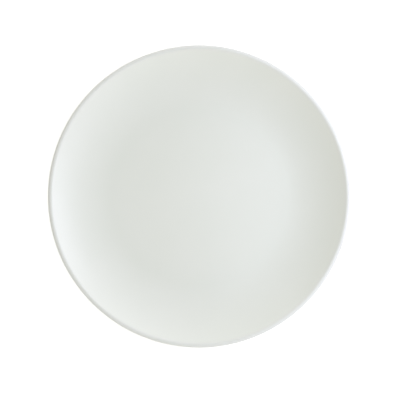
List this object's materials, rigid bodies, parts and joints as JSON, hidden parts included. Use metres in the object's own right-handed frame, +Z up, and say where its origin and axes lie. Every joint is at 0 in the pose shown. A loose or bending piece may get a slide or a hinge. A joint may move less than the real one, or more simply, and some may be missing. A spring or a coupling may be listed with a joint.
{
  "type": "coupe dinner plate",
  "caption": "Round rimless coupe dinner plate: flat floor, wall rising in one sweep to a rounded lip, foot ring underneath, white satin glaze over a clay body.",
  "frame": {"origin": "centre of the plate on the plane that its foot ring stands on", "axes": "+Z up along the plate's axis, out of its eating face; X and Y lie in the table and are alike"},
  "size_m": [0.27, 0.27, 0.025],
  "materials": {
    "bare_clay": "matte",
    "white_glaze": "satin"
  },
  "bodies": {
    "root": {"clay_body": "bare_clay", "face_glaze": "white_glaze", "back_glaze": "white_glaze", "recess_glaze": "white_glaze"}
  },
  "joints": []
}
